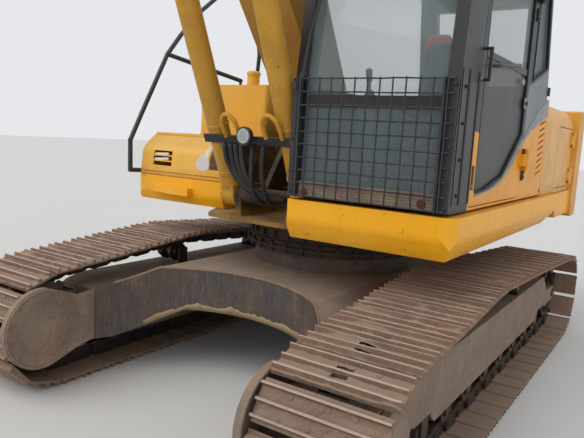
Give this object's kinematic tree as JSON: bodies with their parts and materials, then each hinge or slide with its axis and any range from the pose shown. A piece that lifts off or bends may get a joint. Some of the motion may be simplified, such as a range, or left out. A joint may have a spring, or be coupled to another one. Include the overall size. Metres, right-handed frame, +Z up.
{
  "type": "crawler excavator",
  "caption": "Tracked hydraulic excavator with a cab beside a bent boom, an arm, a toothed bucket and a rounded counterweight behind.",
  "frame": {"origin": "middle of the bounding box, on the ground under the tracks", "axes": "+X towards the bucket, +Y to the machine's left past the cab, +Z up"},
  "size_m": [8.6648, 2.99, 5.0286],
  "materials": {
    "yellow_paint": "weathered yellow-orange paint",
    "counterweight_iron": "yellow-orange paint over casting",
    "undercarriage_steel": "muddy and rusty",
    "track_steel": "worn and rusty",
    "ring_steel": "greasy dark steel",
    "cab_frame": "satin dark grey paint",
    "dark_metal": "satin dark grey paint",
    "cab_trim": "matt",
    "window_glass": "clear",
    "engine": "rough",
    "rod_steel": "polished",
    "bucket_steel": "worn paint over bare steel"
  },
  "bodies": {
    "undercarriage": {"center_frame": "undercarriage_steel", "track_frame_left": "undercarriage_steel", "track_frame_right": "undercarriage_steel", "track_left": "track_steel", "track_right": "track_steel", "sprocket_left": "track_steel", "sprocket_right": "track_steel", "rollers_left": "track_steel", "rollers_right": "track_steel", "swing_ring_lower": "ring_steel"},
    "upper": {"swing_ring_upper": "ring_steel", "revolving_frame": "yellow_paint", "deck_skirts": "yellow_paint", "cab_shell": "cab_frame", "cab_glass": "window_glass", "mesh_guard": "dark_metal", "operator_seat": "cab_trim", "wiper": "cab_frame", "toolbox": "yellow_paint", "fuel_tank": "yellow_paint", "hydraulic_tank": "yellow_paint", "engine_block": "engine", "body_panels": "yellow_paint", "counterweight": "counterweight_iron", "exhaust_pipe": "dark_metal", "handrail": "dark_metal"},
    "cab_door": {"cab_door": "cab_frame"},
    "side_door_left": {"side_door_left": "yellow_paint"},
    "side_door_right": {"side_door_right": "yellow_paint"},
    "engine_hood": {"engine_hood": "yellow_paint"},
    "toolbox_lid": {"toolbox_lid": "yellow_paint"},
    "boom": {"boom": "yellow_paint"},
    "boom_barrels": {"boom_cylinder_barrels": "yellow_paint", "lamp_bar": "dark_metal"},
    "boom_rods": {"boom_cylinder_rods": "rod_steel"},
    "arm_barrel": {"arm_cylinder_barrel": "yellow_paint"},
    "arm_rod": {"arm_cylinder_rod": "rod_steel"},
    "arm": {"arm": "yellow_paint"},
    "bucket_barrel": {"bucket_cylinder_barrel": "yellow_paint"},
    "bucket_rod": {"bucket_cylinder_rod": "rod_steel"},
    "rockers": {"rocker_links": "yellow_paint"},
    "push_link": {"push_link": "yellow_paint"},
    "bucket": {"bucket": "bucket_steel"}
  },
  "joints": [
    {"name": "slew", "type": "hinge", "parent": "undercarriage", "child": "upper", "pos_m": [-1.58238, 0, 0.94], "axis": [0, 0, 1], "continuous": true},
    {"name": "boom_lift", "type": "hinge", "parent": "upper", "child": "boom", "pos_m": [-1.32038, 0, 1.725], "axis": [0, -1, 0], "range_deg": [-72, 34]},
    {"name": "boom_barrels_tilt", "type": "hinge", "parent": "upper", "child": "boom_barrels", "pos_m": [-0.69238, 0, 1.262], "axis": [0, -1, 0], "range_deg": [-74.6, 35.3]},
    {"name": "boom_rods_slide", "type": "slide", "parent": "boom_barrels", "child": "boom_rods", "axis": [0.404, 0, 0.9148], "range_m": [-0.827, 0.3906]},
    {"name": "arm_swing", "type": "hinge", "parent": "boom", "child": "arm", "pos_m": [3.78477, 0, 4.21495], "axis": [0, 1, 0], "range_deg": [-92, 28]},
    {"name": "arm_barrel_tilt", "type": "hinge", "parent": "boom", "child": "arm_barrel", "pos_m": [0.87518, 0, 4.40912], "axis": [0, -1, 0], "range_deg": [-1, 1]},
    {"name": "arm_rod_slide", "type": "slide", "parent": "arm_barrel", "child": "arm_rod", "axis": [0.9873, 0, 0.1591], "range_m": [-1.113, 0.3395]},
    {"name": "bucket_curl", "type": "hinge", "parent": "arm", "child": "bucket", "pos_m": [3.58108, 0, 1.30206], "axis": [0, 1, 0], "range_deg": [-60, 111]},
    {"name": "bucket_barrel_tilt", "type": "hinge", "parent": "arm", "child": "bucket_barrel", "pos_m": [4.22712, 0, 3.80309], "axis": [0, 1, 0], "range_deg": [-3.3, 6]},
    {"name": "bucket_rod_slide", "type": "slide", "parent": "bucket_barrel", "child": "bucket_rod", "axis": [0.01, 0, -1], "range_m": [-0.376, 0.6945]},
    {"name": "rocker_swing", "type": "hinge", "parent": "arm", "child": "rockers", "pos_m": [3.63033, 0, 1.71964], "axis": [0, 1, 0], "range_deg": [-37.4, 69]},
    {"name": "push_link_swing", "type": "hinge", "parent": "bucket", "child": "push_link", "pos_m": [3.99018, 0, 1.14009], "axis": [0, -1, 0], "range_deg": [-39.2, 72.4]},
    {"name": "cab_door_hinge", "type": "hinge", "parent": "upper", "child": "cab_door", "pos_m": [-1.77438, 1.354, 2.2], "axis": [0, 0, 1], "range_deg": [0, 170]},
    {"name": "side_door_left_hinge", "type": "hinge", "parent": "upper", "child": "side_door_left", "pos_m": [-3.62838, 1.338, 1.62], "axis": [0, 0, 1], "range_deg": [0, 100]},
    {"name": "side_door_right_hinge", "type": "hinge", "parent": "upper", "child": "side_door_right", "pos_m": [-2.80238, -1.338, 1.62], "axis": [0, 0, 1], "range_deg": [0, 100]},
    {"name": "engine_hood_hinge", "type": "hinge", "parent": "upper", "child": "engine_hood", "pos_m": [-2.78838, 0, 2.068], "axis": [0, 1, 0], "range_deg": [0, 55]},
    {"name": "toolbox_lid_hinge", "type": "hinge", "parent": "upper", "child": "toolbox_lid", "pos_m": [-1.41038, -0.9, 1.642], "axis": [0, -1, 0], "range_deg": [0, 75]}
  ],
  "couplings": [
    {"joint": "boom_barrels_tilt", "follows": "boom_lift", "ratio": 1.036},
    {"joint": "boom_rods_slide", "follows": "boom_lift", "m_per_rad": 0.658},
    {"joint": "arm_barrel_tilt", "follows": "arm_swing", "ratio": 0.0012},
    {"joint": "arm_rod_slide", "follows": "arm_swing", "m_per_rad": 0.6916},
    {"joint": "bucket_barrel_tilt", "follows": "bucket_curl", "ratio": 0.0527},
    {"joint": "bucket_rod_slide", "follows": "bucket_curl", "m_per_rad": 0.3577},
    {"joint": "rocker_swing", "follows": "bucket_curl", "ratio": 0.62},
    {"joint": "push_link_swing", "follows": "bucket_curl", "ratio": 0.65}
  ]
}
